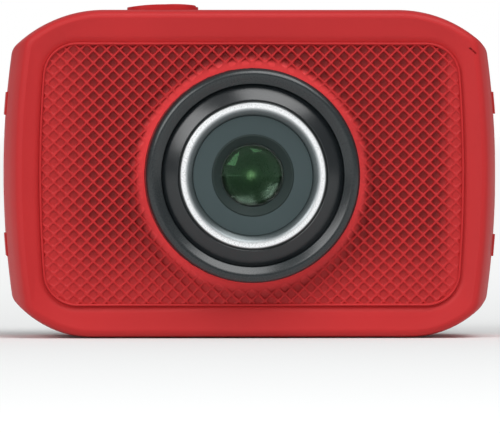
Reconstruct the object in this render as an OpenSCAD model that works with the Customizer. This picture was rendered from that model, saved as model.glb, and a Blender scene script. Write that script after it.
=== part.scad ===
// Compact action camera with a knurled front panel, a round lens bezel,
// a rear display, three side keys, a top shutter button and a port door.
// X is the width, the lens looks along -Y, Z is up and Z = 0 is the base.

/* [Body] */
// Overall width across the bulged sides
body_w = 66; // [64:0.5:70]
// Height of the case without the shutter button
body_h = 44; // [44:0.5:46]
// Depth of the case from front frame to display
body_d = 22; // [22:0.5:24]
// Wall thickness
wall = 1.6; // [1.4:0.1:1.8]
// Radius of the bulged left and right sides
side_r = 118; // [100:1:160]
// Radius of the two upper corners
top_corner_r = 16.7; // [16:0.1:17]
// Radius of the two lower corners
bottom_corner_r = 14; // [13.5:0.1:14.5]

/* [Front panel] */
// Width of the knurled panel at mid height
panel_w = 57; // [55:0.5:58]
// Height of the knurled panel
panel_h = 35.3; // [34:0.1:36]
// Corner radius of the knurled panel
panel_corner_r = 4.6; // [4:0.1:6]
// Thickness of the knurled panel under its rim
panel_t = 1.2; // [1:0.1:1.4]

/* [Lens] */
// Height of the lens axis above the base
lens_z = 21.8; // [21.5:0.1:22.5]
// Outer radius of the lens bezel
lens_ring_r = 14.35; // [14:0.05:14.5]
// How far the lens bezel stands in front of the case
lens_reach = 3.5; // [3:0.1:5]
// Radius of the front glass
glass_r = 4.15; // [4:0.05:4.3]

/* [Controls] */
// Width of the shutter cap
shutter_w = 5.9; // [5.5:0.1:6.2]
// Travel of the shutter cap
shutter_travel = 0.6; // [0.4:0.1:0.6]
// Travel of each side key
key_travel = 0.4; // [0.3:0.05:0.4]

/* [Screen] */
// Width of the display window
window_w = 50.4; // [49:0.2:51]
// Height of the display window
window_h = 36.8; // [36.4:0.2:37]

/* [Tripod socket] */
// Radius of the threaded wall of the quarter inch socket
socket_r = 2.6; // [2.55:0.05:2.7]
// Depth of the threaded wall
socket_l = 5.5; // [5:0.1:5.6]

/* [Hidden] */

$fn = 64;
eps = 0.01;           // overlap that keeps cuts clean
far = 200;            // longer than any dimension of the camera
gap = 0.1;            // clearance between fixed pieces
run = 0.15;           // clearance around moving pieces

// planes across the depth
front_y = -body_d / 2;
back_y = body_d / 2;
split_y = back_y - 6;           // parting plane of the two shells
frame_dip = 0.5;                // how far the front frame slopes in
seat_y = front_y + frame_dip + 0.9;
front_in_y = seat_y + 1.2;      // inner face of the front wall
side_wall = wall + 0.8;         // side walls are thicker for the keys
back_wall = 1.5;
back_in_y = back_y - back_wall;

// outline centres
mid_z = body_h / 2;
side_cx = side_r - body_w / 2;
top_flat = 19.7;                // half length of the flat top edge
bottom_flat = 21.05;            // half length of the flat bottom edge
cut_k = 2.5;                    // reach of the wedges that trim a corner

// taper of the case towards its faces: [y, side inset, edge inset]
front_taper = [[split_y, 0, 0], [front_y + 5.4, 0, 0],
    [front_y + 2.4, 0.7, 0.05], [front_y + 0.7, 1.3, 0.25],
    [front_y + 0.2, 1.65, 0.55], [front_y, 2.2, 1.0]];
back_taper = [[split_y, 0, 0], [back_y - 3, 0.4, 0.2], [back_y - 1, 1.2, 0.7],
    [back_y - 0.3, 1.9, 1.3], [back_y, 2.8, 2.1]];
slice_t = 0.02;                 // thin slices that a hull joins

// panel
panel_z = 21.95;
panel_side_r = 175;
rim_t = 0.25;                   // height of the rim over the field
rim_w = 0.5;
field_y = seat_y - panel_t + rim_t;
collar_r = 17.6;                // where the dished collar starts

// lens stack, as distances forward of the middle plane
ring_bore = 12.2;
cone_in_r = 10.0;
chrome_in_r = 8.0;
plate_in_r = 5.5;
lens_front = body_d / 2 + lens_reach;
carrier_back = -front_in_y - 1.2;
carrier_front = carrier_back + 1.4;
groove_floor = lens_front - 1.5;
plate_front = lens_front - 0.8;
hood_back = plate_front - 1.9;
barrel_r = 6;
barrel_back = 3.4;
bore_step = hood_back - 2.2;

// boards
board_y = 0;                    // front face of the main board
board_t = 1;
sensor_board_y = -1.2;
sensor_board_t = 0.8;
holder_w = 16;
holder_top = 8.2;
holder_r = barrel_r + 1.3;

// side strips
strip_low = 10.9;
strip_high = 33.0;
strip_y = -0.5;                 // middle of both strips
pad_h = 3.1;
pad_reach = 0.25;
bezel_w = 7.2;
bezel_x = body_w / 2 - 1.7;      // floor of the key recess
key_w = 5.4;
key_gap = 0.5;
key_span = strip_high - strip_low - 2 * pad_h - key_gap;
key_h = key_span / 3 - key_gap;
key_flange = 0.7;
key_inner = body_w / 2 - side_wall - 0.55;
key_low = strip_low + pad_h + key_gap;

// port door
hinge_x = body_w / 2 - 1.05;
hinge_y = split_y - 1.4;
knuckle_r = 0.95;
pin_r = 0.35;
door_front_y = hinge_y - 9.2;
door_low = strip_low + pad_h;
door_high = strip_high - pad_h;
door_floor = body_w / 2 - 1.4;   // floor of the door recess
door_x = door_floor + 0.15;
port_open_low = door_low + 1;
port_open_high = door_high - 1;
port_open_front = -3.0;
port_open_back = hinge_y - knuckle_r - 0.25;
seal_w = 0.7;
seal_reach = 0.8;

// shutter
shutter_x = -10.15;
shutter_y = -1.9;
shutter_l = 6.2;
shutter_corner = 2.2;
surround_x = -11.65;
surround_w = 9.5;
surround_l = 8.4;
surround_h = 0.75;
surround_r = 29;
surround_seat = 0.6;
cap_proud = 0.8;
cap_dome_r = 22;
flange_t = 0.6;

// screws and sockets
screw_x = 28.0;
screw_low = 9.2;
screw_high = 33.8;
screw_r = 0.8;
screw_head_r = 1.5;
boss_r = 2.1;
insert_r = 4.2;
socket_boss_r = 5.6;

// -- helpers ---------------------------------------------------------------

// extrudes a front view from y0 back to y1
module along_y(y0, y1) {
    translate([0, y1, 0]) rotate([90, 0, 0]) linear_extrude(y1 - y0) children();
}

// turns a lens profile so that its axis points forward
module on_lens() {
    translate([0, 0, lens_z]) rotate([90, 0, 0]) children();
}

// ring around the lens axis between two forward distances
module lens_tube(r_out, r_in, h0, h1) {
    on_lens() rotate_extrude() translate([r_in, h0]) square([r_out - r_in, h1 - h0]);
}

module box(x0, y0, z0, x1, y1, z1) {
    translate([x0, y0, z0]) cube([x1 - x0, y1 - y0, z1 - z0]);
}

module rod(x, y, r, z0, z1) {
    translate([x, y, z0]) cylinder(r = r, h = z1 - z0);
}

module peg(x, z, r, y0, y1) {
    translate([x, y1, z]) rotate([90, 0, 0]) cylinder(r = r, h = y1 - y0);
}

module big_disc(x, z, r) {
    translate([x, z]) circle(r, $fn = 480);
}

// slab with its two upper or its two lower corners rounded
module rounded_edge(flat, r, edge, top) {
    reach = flat + r - edge;
    s = top ? 1 : -1;
    base = top ? body_h : 0;
    for (side = [-1, 1]) translate([side * flat, base - s * r]) circle(r - edge, $fn = 192);
    translate([-flat, top ? -far : edge]) square([2 * flat, far + (top ? body_h - edge : 0)]);
    translate([-reach, top ? -far : r]) square([2 * reach, far + (top ? body_h - r : 0)]);
}

// front view of the case, with its sides and its edges drawn in
module body_outline(side = 0, edge = 0) {
    intersection() {
        big_disc(-side_cx, mid_z, side_r - side);
        big_disc(side_cx, mid_z, side_r - side);
        rounded_edge(top_flat, top_corner_r, edge, true);
        rounded_edge(bottom_flat, bottom_corner_r, edge, false);
    }
}

// case between two depths, with its edges eased by [y, side, edge] stations
module tapered(stations, y0, y1) {
    half = [for (s = stations) [body_w / 2 - s[1], s[0]]];
    low = [for (s = stations) [s[0], s[2]]];
    last = len(stations) - 1;
    intersection() {
        along_y(y0, y1) body_outline();
        translate([0, 0, -1]) linear_extrude(body_h + 2)
            polygon(concat(half, [for (i = [last:-1:0]) [-half[i][0], half[i][1]]]));
        translate([-far / 2, 0, 0]) rotate([90, 0, 90]) linear_extrude(far)
            polygon(concat(low, [for (i = [last:-1:0]) [low[i][0], body_h - low[i][1]]]));
    }
}

// bowed panel outline grown by d
module panel_outline(d = 0) {
    half = panel_w / 2 + d;
    top = panel_h / 2 + d;
    r = panel_corner_r + d;
    sr = panel_side_r + d;
    b = [half - sr, 0];
    c = [b[0] + sqrt(pow(sr - r, 2) - pow(top - r, 2)), top - r];
    tb = b + (c - b) * sr / (sr - r);
    translate([0, panel_z]) difference() {
        intersection() {
            big_disc(half - sr, 0, sr);
            big_disc(sr - half, 0, sr);
            translate([-far / 2, -top]) square([far, 2 * top]);
        }
        for (mx = [0, 1], my = [0, 1]) mirror([mx, 0]) mirror([0, my]) difference() {
            polygon([c, c + cut_k * [0, r], c + cut_k * (tb - c)]);
            translate(c) circle(r);
        }
    }
}

// block of the left or right side, from x_in out to the bulge plus reach
module side_block(right, x_in, z0, z1, y0, y1, reach = 0) {
    mirror([right ? 0 : 1, 0, 0]) along_y(y0, y1) intersection() {
        translate([x_in, z0]) square([far, z1 - z0]);
        big_disc(-side_cx, mid_z, side_r + reach);
    }
}

module rounded_rect(x, y, w, l, r) {
    translate([x, y]) {
        square([w - 2 * r, l], center = true);
        square([w, l - 2 * r], center = true);
        for (sx = [-1, 1], sy = [-1, 1])
            translate([sx * (w / 2 - r), sy * (l / 2 - r)]) circle(r);
    }
}

module upright(x, y, w, l, r, z0, z1) {
    translate([0, 0, z0]) linear_extrude(z1 - z0) rounded_rect(x, y, w, l, r);
}

module at_screws() {
    for (x = [-screw_x, screw_x], z = [screw_low, screw_high]) translate([x, 0, z]) children();
}

module red() {
    color([0.72, 0.17, 0.18]) children();
}

module black() {
    color([0.09, 0.1, 0.1]) children();
}

module steel() {
    color([0.75, 0.76, 0.78]) children();
}

// -- shells ----------------------------------------------------------------

// sloping picture frame that leads down to the panel
module frame_slope() {
    hull() {
        along_y(front_y - slice_t, front_y) panel_outline(2.6, $fn = 32);
        along_y(front_y + frame_dip, front_y + frame_dip + slice_t)
            panel_outline(0.3, $fn = 32);
    }
}

module socket_boss() {
    intersection() {
        rod(0, 0, socket_boss_r, wall - eps, socket_l + 1.4);
        box(-far, -far, 0, far, split_y - 0.6, far);
    }
}

module key_holes() {
    for (i = [0:2])
        box(-far, strip_y - key_w / 2 - run, key_low + i * (key_h + key_gap) - run,
            -body_w / 2 + 8, strip_y + key_w / 2 + run,
            key_low + i * (key_h + key_gap) + key_h + run);
}

module mic_slit() {
    translate([29.6, 0, 38.5]) rotate([0, 41, 0])
        box(-0.7, front_y - 1, -0.14, 0.7, front_y + 0.9, 0.14);
}

module speaker_holes() {
    for (x = [-21:2:-13]) rod(x, -4, 0.45, -1, wall + 1);
}

module front_shell() {
    red() difference() {
        union() {
            difference() {
                tapered(front_taper, front_y, split_y);
                along_y(front_in_y, split_y + 1) body_outline(side_wall, wall);
            }
            socket_boss();
            at_screws() peg(0, 0, boss_r, front_in_y - eps, split_y);
        }
        frame_slope();
        along_y(front_y, seat_y) panel_outline(gap);
        on_lens() cylinder(r = lens_ring_r + 0.05, h = far);
        at_screws() peg(0, 0, screw_r, split_y - 7, split_y + 1);
        along_y(split_y - 0.35, split_y + eps) gasket_ring();
        upright(surround_x, shutter_y, surround_w, surround_l, 3, body_h - surround_seat, far);
        upright(shutter_x, shutter_y, shutter_w + 2 * run, shutter_l + 2 * run,
            shutter_corner + run, 30, far);
        box(-far, strip_y - bezel_w / 2, strip_low, -bezel_x, strip_y + bezel_w / 2, strip_high);
        key_holes();
        box(door_floor, door_front_y - run, strip_low, far, hinge_y + knuckle_r + run, strip_high);
        rod(hinge_x, hinge_y, knuckle_r + run, strip_low, strip_high);
        box(20, port_open_front, port_open_low, far, port_open_back, port_open_high);
        rod(0, 0, insert_r, -1, socket_l);
        speaker_holes();
        mic_slit();
    }
}

module gasket_ring() {
    difference() {
        body_outline(1.0, 0.55);
        body_outline(1.5, 1.05);
    }
}

module shell_gasket() {
    black() along_y(split_y - 0.3, split_y + 0.3) gasket_ring();
}

module rear_shell() {
    window_low = mid_z - window_h / 2;
    red() difference() {
        tapered(back_taper, split_y, back_y);
        along_y(split_y - 1, back_in_y) difference() {
            body_outline(side_wall, wall);
            for (x = [-screw_x, screw_x], z = [screw_low, screw_high])
                translate([x, z]) circle(boss_r);
        }
        box(-window_w / 2 - gap, back_y - 1.1, window_low - gap,
            window_w / 2 + gap, far, mid_z + window_h / 2 + gap);
        box(-21.8, 0, mid_z - 16.4, 21.8, far, mid_z + 16.4);
        at_screws() peg(0, 0, screw_r + 0.15, 0, far);
        at_screws() peg(0, 0, screw_head_r + 0.1, back_y - 1.4, far);
        along_y(split_y - eps, split_y + 0.35) gasket_ring();
        for (z = [19.5, 24.5]) peg(28.2, z, 0.65, 0, far);
    }
}

// -- front trim and lens ---------------------------------------------------

module front_panel() {
    red() difference() {
        along_y(seat_y - panel_t, seat_y) panel_outline();
        along_y(front_y - 1, field_y) panel_outline(-rim_w);
        on_lens() cylinder(r = lens_ring_r + 0.05, h = far);
        on_lens() translate([0, 0, -seat_y + 0.35])
            cylinder(r1 = lens_ring_r + 0.05, r2 = collar_r, h = -field_y + seat_y - 0.35 + eps);
    }
}

module lens_ring() {
    black() on_lens() rotate_extrude() polygon([
        [ring_bore, carrier_back], [lens_ring_r, carrier_back],
        [lens_ring_r, lens_front - 0.9], [lens_ring_r - 0.35, lens_front - 0.35],
        [lens_ring_r - 0.9, lens_front - 0.1], [lens_ring_r - 1.3, lens_front - 0.15],
        [ring_bore, groove_floor]]);
}

module cone_ring() {
    color([0.2, 0.22, 0.22]) on_lens() rotate_extrude() polygon([
        [cone_in_r, carrier_front], [ring_bore, carrier_front],
        [ring_bore, groove_floor - 0.05], [cone_in_r + 0.1, lens_front - 0.2],
        [cone_in_r, lens_front - 0.25]]);
}

module chrome_ring() {
    color([0.93, 0.95, 0.95]) on_lens() rotate_extrude() polygon([
        [chrome_in_r, carrier_front], [cone_in_r, carrier_front],
        [cone_in_r, lens_front - 0.3], [cone_in_r - 0.3, lens_front - 0.05],
        [cone_in_r - 0.75, lens_front], [cone_in_r - 1.2, lens_front - 0.1],
        [chrome_in_r, lens_front - 0.7]]);
}

module lens_carrier() {
    black() lens_tube(ring_bore, holder_r + 0.1, carrier_back, carrier_front);
}

module lens_plate() {
    color([0.27, 0.33, 0.33]) lens_tube(chrome_in_r, plate_in_r, plate_front - 1, plate_front);
}

module lens_hood() {
    color([0.15, 0.19, 0.18]) on_lens() rotate_extrude() polygon([
        [glass_r + 0.05, hood_back], [plate_in_r, hood_back],
        [plate_in_r, plate_front], [plate_in_r - 0.2, plate_front + 0.1],
        [glass_r + 0.25, plate_front - 0.7], [glass_r + 0.05, plate_front - 0.9]]);
}

// domed lens element, curved to the front
module element(r, h0, h1, dome) {
    color([0.45, 0.65, 0.45, 0.5]) on_lens() intersection() {
        translate([0, 0, h0]) cylinder(r = r, h = h1 - h0);
        translate([0, 0, h1 - dome]) sphere(r = dome, $fn = 128);
    }
}

module front_lens() {
    element(glass_r, bore_step + 0.05, plate_front - 0.75, 9);
}

module lens_barrel() {
    black() difference() {
        on_lens() translate([0, 0, barrel_back]) cylinder(r = barrel_r, h = hood_back - barrel_back);
        on_lens() cylinder(r = 3.6, h = far);
        on_lens() translate([0, 0, bore_step]) cylinder(r = glass_r + 0.05, h = far);
    }
}

module middle_lens() {
    element(3.55, bore_step - 2.4, bore_step - 0.4, 11);
}

module aperture_stop() {
    black() lens_tube(3.55, 1.1, bore_step - 2.8, bore_step - 2.5);
}

module rear_lens() {
    element(3.55, barrel_back + 0.3, bore_step - 2.9, 10);
}

module lens_holder() {
    half = holder_w / 2;
    black() difference() {
        union() {
            on_lens() cylinder(r = holder_r, h = holder_top);
            box(-half, -3.4, lens_z - half, half, sensor_board_y, lens_z + half);
        }
        on_lens() translate([0, 0, 3.3]) cylinder(r = barrel_r, h = far);
        box(-far, sensor_board_y, -far, far, far, far);
        box(-5, -2.6, lens_z - 4.5, 5, far, lens_z + 4.5);
        box(-4.1, -2.9, lens_z - 4.1, 4.1, far, lens_z + 4.1);
        on_lens() cylinder(r = 3.5, h = far);
    }
}

module ir_filter() {
    color([0.55, 0.7, 0.8, 0.5]) box(-4, -2.9, lens_z - 4, 4, -2.6, lens_z + 4);
}

// -- boards and electrics --------------------------------------------------

module image_sensor() {
    color([0.3, 0.25, 0.4]) box(-4.2, -2.1, lens_z - 3.6, 4.2, sensor_board_y, lens_z + 3.6);
}

module sensor_board() {
    half = holder_w / 2 + 1;
    color([0.1, 0.35, 0.2]) box(-half, sensor_board_y, lens_z - half, half,
        sensor_board_y + sensor_board_t, lens_z + half);
}

module sensor_connector() {
    color([0.85, 0.8, 0.7]) box(-5, sensor_board_y + sensor_board_t, lens_z - 7,
        5, board_y, lens_z - 4.5);
}

module main_board() {
    color([0.1, 0.35, 0.2]) difference() {
        union() {
            box(-25.6, board_y, 8, 25.4, board_y + board_t, 40);
            box(-28.4, board_y, 12.2, 29.2, board_y + board_t, 30.8);
        }
        box(-16, -1, 37.5, -4, 3, 41);
    }
}

module processor_shield() {
    steel() box(-23, board_y - 1.8, 16, -10.5, board_y, 29);
}

module memory_chips() {
    black() {
        box(11, board_y - 1, 26, 19, board_y, 33);
        box(11, board_y - 1, 14, 18, board_y, 19);
        box(-22, board_y - 1, 31.5, -18, board_y, 35.5);
    }
}

// metal receptacle with an open mouth towards +X
module receptacle(x0, y0, z0, y1, z1, w) {
    difference() {
        box(x0, y0, z0, port_face_x, y1, z1);
        box(x0 + 1, y0 + w, z0 + w, far, y1 - w, z1 - w);
    }
    box(x0 + 1, (y0 + y1) / 2 - 0.3, z0 + 3 * w, port_face_x - 0.6, (y0 + y1) / 2 + 0.3,
        z1 - 3 * w);
}

port_face_x = 30.4;

module usb_port() {
    steel() receptacle(24.6, board_y - 2.6, 21.7, board_y, 29.1, 0.35);
}

module hdmi_port() {
    steel() receptacle(23.6, board_y - 2.9, 15.0, board_y, 21.4, 0.35);
}

module card_slot() {
    steel() difference() {
        box(15.8, board_y + board_t, 16.1, 29.8, board_y + board_t + 1.4, 27.9);
        box(16.4, board_y + board_t + 0.3, 16.5, far, board_y + board_t + 1.1, 27.5);
    }
}

module battery() {
    color([0.7, 0.72, 0.75]) upright_pack(-25.4, 1.7, 9.6, 12.6, 6.4, 38.2, 1.4);
}

module upright_pack(x0, y0, z0, x1, y1, z1, r) {
    along_y(y0, y1) rounded_rect((x0 + x1) / 2, (z0 + z1) / 2, x1 - x0, z1 - z0, r);
}

module battery_lead() {
    color([0.8, 0.1, 0.1]) {
        box(12.6, 2.3, 31, 15.4, 2.9, 34);
        box(14.8, board_y + board_t, 31, 15.4, 2.3, 34);
    }
}

module display() {
    color([0.1, 0.1, 0.12]) box(-23.3, back_in_y - 2.1, mid_z - 17.8, 23.3, back_in_y,
        mid_z + 17.8);
}

module display_frame() {
    steel() difference() {
        box(-24.4, back_in_y - 2.6, mid_z - 18.4, 24.4, back_in_y, mid_z + 18.4);
        box(-23.3, back_in_y - 2.1, mid_z - 17.8, 23.3, far, mid_z + 17.8);
        box(-20, 0, mid_z - 15, 20, far, mid_z + 15);
    }
}

module display_flex() {
    color([0.75, 0.5, 0.15]) {
        box(15, back_in_y - 2.9, 10, 23, back_in_y - 2.6, 20);
        box(22.7, board_y + board_t, 10, 23, back_in_y - 2.6, 15.6);
    }
}

module screen_window() {
    color([0.05, 0.06, 0.07]) along_y(back_y - 1.1, back_y)
        rounded_rect(0, mid_z, window_w, window_h, 1.2);
}

// -- controls --------------------------------------------------------------

module button_surround() {
    red() difference() {
        intersection() {
            upright(surround_x, shutter_y, surround_w, surround_l, 3,
                body_h - surround_seat, body_h + 2);
            along_y(-far, far) big_disc(surround_x, body_h + surround_h - surround_r, surround_r);
        }
        upright(shutter_x, shutter_y, shutter_w + 2 * run, shutter_l + 2 * run,
            shutter_corner + run, 30, far);
    }
}

module shutter_button() {
    under = body_h - wall - 0.05;
    red() {
        intersection() {
            upright(shutter_x, shutter_y, shutter_w, shutter_l, shutter_corner,
                under - flange_t, body_h + 2);
            along_y(-far, far) big_disc(shutter_x, body_h + cap_proud - cap_dome_r, cap_dome_r);
        }
        upright(shutter_x, shutter_y, shutter_w + 1.6, shutter_l + 1.6, shutter_corner,
            under - flange_t, under);
    }
}

module shutter_switch() {
    base = body_h - wall - flange_t - shutter_travel - 0.15;
    color([0.25, 0.25, 0.27]) {
        rod(shutter_x, shutter_y, 1, base - 0.6, base);
        box(shutter_x - 2.6, shutter_y - 1.9, base - 2.6, shutter_x + 2.6, shutter_y + 1.9,
            base - 0.6);
    }
}

module key_bezel() {
    red() difference() {
        union() {
            side_block(false, bezel_x, strip_low, strip_high,
                strip_y - bezel_w / 2, strip_y + bezel_w / 2);
            for (z = [strip_low, strip_high - pad_h])
                side_block(false, bezel_x, z, z + pad_h,
                    strip_y - bezel_w / 2, strip_y + bezel_w / 2, pad_reach);
        }
        key_holes();
    }
}

// key number i, counted from the bottom
module side_key(i) {
    z0 = key_low + i * (key_h + key_gap);
    y0 = strip_y - key_w / 2;
    lip = 0.6;
    red() {
        side_block(false, key_inner - eps, z0, z0 + key_h, y0, y0 + key_w);
        box(-key_inner, y0 - lip, z0 + 0.2, -key_inner + key_flange, y0 + key_w + lip,
            z0 + key_h - 0.2);
    }
}

module key_lower() {
    side_key(0);
}

module key_middle() {
    side_key(1);
}

module key_upper() {
    side_key(2);
}

module key_switches() {
    face = -key_inner + key_flange + key_travel + 0.1;
    color([0.25, 0.25, 0.27]) for (i = [0:2]) {
        z = key_low + i * (key_h + key_gap) + key_h / 2;
        box(face, board_y - 1.6, z - 0.7, face + 0.5, board_y - 0.4, z + 0.7);
        box(face + 0.5, board_y - 2, z - 1.7, face + 2.3, board_y, z + 1.7);
    }
}

module port_bezel() {
    red() difference() {
        union() {
            side_block(true, door_floor, strip_low, door_low - run,
                door_front_y, hinge_y + knuckle_r, pad_reach);
            side_block(true, door_floor, door_high + run, strip_high,
                door_front_y, hinge_y + knuckle_r, pad_reach);
        }
        rod(hinge_x, hinge_y, pin_r, strip_low + 0.8, strip_high - 0.8);
    }
}

module port_door() {
    red() difference() {
        union() {
            side_block(true, door_x, door_low, door_high, door_front_y, hinge_y);
            rod(hinge_x, hinge_y, knuckle_r, door_low, door_high);
        }
        rod(hinge_x, hinge_y, pin_r + 0.05, 0, body_h);
        rod(body_w / 2 + 0.2, door_front_y - 0.3, 0.8, mid_z - 2.5, mid_z + 2.5);
    }
}

module door_seal() {
    x0 = door_x - seal_reach;
    y0 = port_open_front + 0.2;
    y1 = port_open_back - 0.2;
    z0 = port_open_low + 0.2;
    z1 = port_open_high - 0.2;
    black() difference() {
        box(x0, y0, z0, door_x, y1, z1);
        box(0, y0 + seal_w, z0 + seal_w, door_x - 0.3, y1 - seal_w, z1 - seal_w);
    }
}

module door_pin() {
    steel() rod(hinge_x, hinge_y, pin_r, strip_low + 0.9, strip_high - 0.9);
}

// -- fastenings and small pieces --------------------------------------------

module tripod_insert() {
    color([0.8, 0.65, 0.35]) difference() {
        rod(0, 0, insert_r, 0, socket_l);
        rod(0, 0, socket_r, -1, socket_l + 1);
    }
}

module shell_screws() {
    steel() at_screws() difference() {
        union() {
            peg(0, 0, screw_r, split_y - 6, back_y - 1.4);
            peg(0, 0, screw_head_r, back_y - 1.4, back_y - 0.5);
        }
        for (turn = [0, 90]) rotate([0, turn, 0])
            box(-0.9, back_y - 0.9, -0.18, 0.9, far, 0.18);
    }
}

module speaker() {
    color([0.2, 0.2, 0.22]) box(-24, -7.6, wall + 0.5, -10, -0.6, wall + 3.7);
}

module microphone() {
    color([0.6, 0.6, 0.62]) peg(26.8, 38, 1.5, front_in_y, front_in_y + 1.6);
}

module status_lights() {
    color([0.8, 0.85, 0.85]) for (z = [19.5, 24.5]) peg(28.2, z, 0.65, back_in_y - 1, back_y - 0.25);
}

front_shell();
rear_shell();
shell_gasket();
front_panel();
lens_ring();
cone_ring();
chrome_ring();
lens_carrier();
lens_plate();
lens_hood();
front_lens();
lens_barrel();
middle_lens();
aperture_stop();
rear_lens();
lens_holder();
ir_filter();
image_sensor();
sensor_board();
sensor_connector();
main_board();
processor_shield();
memory_chips();
usb_port();
hdmi_port();
card_slot();
battery();
battery_lead();
display();
display_frame();
display_flex();
screen_window();
button_surround();
shutter_button();
shutter_switch();
key_bezel();
key_upper();
key_middle();
key_lower();
key_switches();
port_bezel();
port_door();
door_seal();
door_pin();
tripod_insert();
shell_screws();
speaker();
microphone();
status_lights();
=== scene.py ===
from math import atan2, cos, hypot, pi, radians, sin, sqrt

import bmesh
import bpy
from mathutils import Matrix, Vector


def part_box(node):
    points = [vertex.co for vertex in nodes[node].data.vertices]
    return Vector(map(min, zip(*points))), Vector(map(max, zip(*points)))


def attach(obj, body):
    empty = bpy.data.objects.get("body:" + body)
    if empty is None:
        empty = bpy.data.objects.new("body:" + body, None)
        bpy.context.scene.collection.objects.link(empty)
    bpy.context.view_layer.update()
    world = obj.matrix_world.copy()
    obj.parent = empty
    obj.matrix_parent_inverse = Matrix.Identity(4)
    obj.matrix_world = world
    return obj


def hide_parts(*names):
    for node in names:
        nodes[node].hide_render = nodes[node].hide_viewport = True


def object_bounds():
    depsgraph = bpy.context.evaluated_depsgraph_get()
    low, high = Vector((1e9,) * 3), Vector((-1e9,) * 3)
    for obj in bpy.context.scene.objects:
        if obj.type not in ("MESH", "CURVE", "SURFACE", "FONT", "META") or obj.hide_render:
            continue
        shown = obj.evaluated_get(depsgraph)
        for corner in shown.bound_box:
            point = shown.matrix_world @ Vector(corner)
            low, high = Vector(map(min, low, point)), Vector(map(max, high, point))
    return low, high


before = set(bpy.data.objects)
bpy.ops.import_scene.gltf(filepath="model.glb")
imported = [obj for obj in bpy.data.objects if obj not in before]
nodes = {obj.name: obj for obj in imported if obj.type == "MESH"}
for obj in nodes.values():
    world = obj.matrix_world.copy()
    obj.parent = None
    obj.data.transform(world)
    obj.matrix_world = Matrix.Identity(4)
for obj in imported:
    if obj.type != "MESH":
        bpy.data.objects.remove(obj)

cad_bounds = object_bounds()

# Compact action camera. The case, the panel and the lens stack are modelled here
# around the CAD frame. X is the width, the lens looks along -Y and Z is up.
MM = 0.001


# -- the frame's own sizes, in millimetres ----------------------------------------
def cad_box(*names):
    """Lowest and highest corners of some CAD nodes, in millimetres."""
    boxes = [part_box(name) for name in names]
    low = [min(b[0][k] for b in boxes) / MM for k in range(3)]
    high = [max(b[1][k] for b in boxes) / MM for k in range(3)]
    return Vector(low), Vector(high)


def cad_middle(*names):
    low, high = cad_box(*names)
    return (low + high) / 2


case_low, case_high = cad_box("front_shell", "rear_shell")
HALF_W = case_high.x
CASE_H = case_high.z
MID_Z = CASE_H / 2
FRONT_Y = case_low.y
BACK_Y = case_high.y
SPLIT_Y = cad_box("rear_shell")[0].y
panel_low, panel_high = cad_box("front_panel")
PANEL_Z = (panel_low.z + panel_high.z) / 2
PANEL_TOP = (panel_high.z - panel_low.z) / 2
PANEL_HALF = panel_high.x
RIM_Y = panel_low.y
SEAT_Y = panel_high.y
window_low, window_high = cad_box("screen_window")
AXIS_Z = cad_middle("lens_ring").z
RING_R = cad_box("lens_ring")[1].x
LENS_Y = cad_box("chrome_ring")[0].y

# -- outline of the case, as the CAD draws it -------------------------------------
SIDE_R = 118.0          # bulge of the left and right sides
TOP_R, TOP_FLAT = 16.7, 19.7
BOTTOM_R, BOTTOM_FLAT = 14.0, 21.05
RIDGE_R = 2.2           # rounding where a corner runs into a side
WALL, SIDE_WALL = 1.6, 2.4
FRONT_WALL_Y = SEAT_Y + 1.2
BACK_WALL_Y = BACK_Y - 1.5
PANEL_SIDE_R, PANEL_CORNER_R = 175.0, 4.6
VIEW_HALF, VIEW_TOP = 21.8, 16.4    # opening in the rear shell behind the window
GAP = 0.05              # play between the lens bezel and what it passes through
RIM_W = 0.36            # raised rim of the knurled panel
FIELD_Y = RIM_Y + 0.25   # crests of the knurl
FRAME_Y = FRONT_Y + 0.5  # inner edge of the front frame

FLAT_STEPS, CORNER_STEPS, RIDGE_STEPS, SIDE_STEPS = 6, 22, 6, 14


def lerp(a, b, t):
    return a + (b - a) * t


def smooth_step(low, high, value):
    t = min(1.0, max(0.0, (value - low) / (high - low)))
    return t * t * (3 - 2 * t)


def arc(centre, r, start, end, steps):
    return [Vector((centre[0] + r * cos(lerp(start, end, i / steps)),
                    centre[1] + r * sin(lerp(start, end, i / steps)))) for i in range(steps)]


def meeting(a, ra, b, rb):
    """Upper point at distance ra from a and rb from b."""
    a, b = Vector(a), Vector(b)
    gap = (b - a).length
    along = (ra * ra - rb * rb + gap * gap) / (2 * gap)
    across = sqrt(ra * ra - along * along)
    way = (b - a) / gap
    choices = [a + way * along + s * across * Vector((-way.y, way.x)) for s in (1, -1)]
    return max(choices, key=lambda p: p.y)


def quarter(flat, corner, side, middles):
    """A quarter of a ring, from the top middle clockwise to the right."""
    steps = [Vector((flat * i / FLAT_STEPS, middles)) for i in range(FLAT_STEPS)]
    return steps + corner + side


def case_quarter(side, edge, flat, r):
    a, b = (flat, MID_Z - r), (HALF_W - SIDE_R, 0.0)
    ridge = meeting(a, r - edge - RIDGE_R, b, SIDE_R - side - RIDGE_R)
    turn = atan2(ridge.y - a[1], ridge.x - a[0])
    lean = atan2(ridge.y - b[1], ridge.x - b[0])
    corner = (arc(a, r - edge, pi / 2, turn, CORNER_STEPS)
              + arc(ridge, RIDGE_R, turn, lean, RIDGE_STEPS))
    return quarter(flat, corner, arc(b, SIDE_R - side, lean, 0, SIDE_STEPS), MID_Z - edge)


def full_ring(upper, lower, z, y):
    """Both quarters mirrored into a closed ring of points at a depth."""
    middle_right = [Vector((max(p.x for p in upper + lower), 0))]
    right = upper + middle_right + [Vector((p.x, -p.y)) for p in reversed(lower[1:])]
    bottom = [Vector((0, -lower[0].y))]
    left = [Vector((-p.x, p.y)) for p in reversed(right[1:])]
    return [Vector((p.x, y, z + p.y)) for p in right + bottom + left]


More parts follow.
